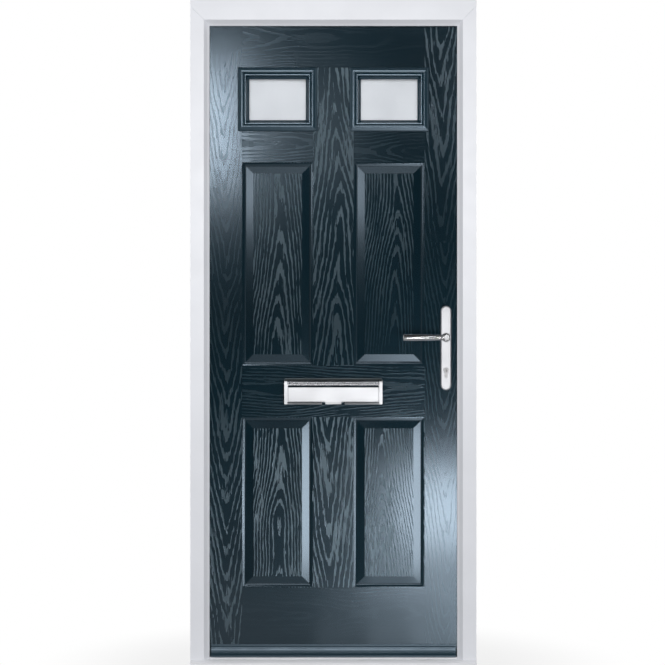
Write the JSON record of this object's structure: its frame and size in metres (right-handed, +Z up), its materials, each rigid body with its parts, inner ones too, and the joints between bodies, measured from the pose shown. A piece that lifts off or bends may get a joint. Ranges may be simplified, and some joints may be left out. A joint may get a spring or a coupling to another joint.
{
  "type": "panelled front door",
  "caption": "Hinged composite front door with raised panels, small glazed lights, letterplate and lever handles, in a hollow plastic frame on a low threshold.",
  "frame": {"origin": "middle of the threshold's underside, at half the frame's depth", "axes": "+X to the lock side, -Y to the outside, +Z up"},
  "size_m": [0.91, 0.144, 2.13],
  "materials": {
    "white_frame": "smooth white PVC-U",
    "galvanised_steel": "galvanised",
    "grey_rubber": "soft matt grey",
    "black_rubber": "soft matt black",
    "threshold_aluminium": "satin anodised",
    "black_plastic": "matt black",
    "zinc_steel": "zinc plated",
    "white_metal": "white powder coat",
    "dark_woodgrain": "moulded oak grain, dark blue-green satin",
    "white_woodgrain": "moulded oak grain, white satin",
    "foam": "rigid polyurethane foam",
    "timber": "sealed laminated timber",
    "spacer_aluminium": "mill finish",
    "dark_metal": "dark blue-green powder coat",
    "dark_cassette": "dark blue-green satin with fine grain",
    "white_cassette": "white satin",
    "obscure_glass": "stippled obscure",
    "clear_glass": "clear float",
    "chrome": "polished chrome",
    "satin_chrome": "satin chrome",
    "nickel": "satin nickel"
  },
  "bodies": {
    "frame": {"hinge_jamb": "white_frame", "lock_jamb": "white_frame", "frame_head": "white_frame", "head_extension": "white_frame", "hinge_jamb_steel": "galvanised_steel", "lock_jamb_steel": "galvanised_steel", "frame_gasket": "grey_rubber", "threshold_outer": "threshold_aluminium", "threshold_break": "black_plastic", "threshold_inner": "threshold_aluminium", "threshold_seal": "black_rubber", "top_hook_keep": "zinc_steel", "centre_keep": "zinc_steel", "bottom_hook_keep": "zinc_steel", "frame_screws": "zinc_steel", "hinge_frame_leaf_top": "white_metal", "hinge_frame_leaf_middle": "white_metal", "hinge_frame_leaf_bottom": "white_metal", "hinge_pins": "white_metal"},
    "door": {"outer_skin": "dark_woodgrain", "inner_skin": "white_woodgrain", "foam_core": "foam", "hinge_stile": "timber", "lock_stile": "timber", "top_rail": "timber", "bottom_rail": "timber", "left_cassette_outer": "dark_cassette", "left_cassette_inner": "white_cassette", "left_outer_pane": "obscure_glass", "left_inner_pane": "clear_glass", "right_cassette_outer": "dark_cassette", "right_cassette_inner": "white_cassette", "right_outer_pane": "obscure_glass", "right_inner_pane": "clear_glass", "glass_spacers": "spacer_aluminium", "weather_bar": "dark_metal", "letterplate_frame": "satin_chrome", "letterplate_sleeve": "black_plastic", "letterplate_inner_frame": "satin_chrome", "letterplate_bolts": "zinc_steel", "outer_backplate": "satin_chrome", "inner_backplate": "satin_chrome", "handle_bolts": "chrome", "lock_faceplate": "zinc_steel", "lock_case": "zinc_steel", "hook_cases": "zinc_steel", "cylinder_body": "nickel", "hinge_door_leaf_top": "white_metal", "hinge_door_leaf_middle": "white_metal", "hinge_door_leaf_bottom": "white_metal", "door_screws": "zinc_steel"},
    "outer_lever": {"outer_lever": "chrome"},
    "inner_lever": {"inner_lever": "chrome"},
    "latch_bolt": {"latch_bolt": "nickel"},
    "deadbolt": {"deadbolt": "nickel"},
    "top_hook": {"top_hook": "nickel"},
    "bottom_hook": {"bottom_hook": "nickel"},
    "cylinder_plug": {"cylinder_plug": "nickel"},
    "outer_flap": {"outer_flap": "satin_chrome"},
    "inner_flap": {"inner_flap": "satin_chrome"}
  },
  "joints": [
    {"name": "door_swing", "type": "hinge", "parent": "frame", "child": "door", "pos_m": [-0.405, 0.044, 1.065], "axis": [0, 0, 1], "range_deg": [0, 100]},
    {"name": "outer_lever_lift", "type": "hinge", "parent": "door", "child": "outer_lever", "pos_m": [0.3595, -0.03, 1.046], "axis": [0, 1, 0], "range_deg": [0, 45], "stiffness_Nm_per_rad": 1.5, "springref_deg": -5.73},
    {"name": "inner_lever_turn", "type": "hinge", "parent": "door", "child": "inner_lever", "pos_m": [0.3595, 0.056, 1.046], "axis": [0, 1, 0], "range_deg": [-40, 40], "stiffness_Nm_per_rad": 3, "springref_deg": 4.58},
    {"name": "latch_slide", "type": "slide", "parent": "door", "child": "latch_bolt", "axis": [1, 0, 0], "range_m": [0, 0.012]},
    {"name": "deadbolt_slide", "type": "slide", "parent": "door", "child": "deadbolt", "axis": [1, 0, 0], "range_m": [0, 0.02]},
    {"name": "top_hook_turn", "type": "hinge", "parent": "door", "child": "top_hook", "pos_m": [0.388, 0.013, 1.776], "axis": [0, -1, 0], "range_deg": [0, 90]},
    {"name": "bottom_hook_turn", "type": "hinge", "parent": "door", "child": "bottom_hook", "pos_m": [0.388, 0.013, 0.316], "axis": [0, -1, 0], "range_deg": [0, 90]},
    {"name": "key_turn", "type": "hinge", "parent": "door", "child": "cylinder_plug", "pos_m": [0.3595, 0.013, 0.942], "axis": [0, 1, 0], "range_deg": [0, 360]},
    {"name": "outer_flap_lift", "type": "hinge", "parent": "door", "child": "outer_flap", "pos_m": [0, -0.0148, 0.886], "axis": [-1, 0, 0], "range_deg": [0, 80], "stiffness_Nm_per_rad": 0.05, "springref_deg": -17.19},
    {"name": "inner_flap_lift", "type": "hinge", "parent": "door", "child": "inner_flap", "pos_m": [0, 0.0408, 0.886], "axis": [1, 0, 0], "range_deg": [0, 80], "stiffness_Nm_per_rad": 0.05, "springref_deg": -17.19}
  ],
  "couplings": [
    {"joint": "deadbolt_slide", "follows": "outer_lever_lift", "m_per_rad": 0.025465},
    {"joint": "top_hook_turn", "follows": "outer_lever_lift", "ratio": 2},
    {"joint": "bottom_hook_turn", "follows": "outer_lever_lift", "ratio": 2}
  ]
}
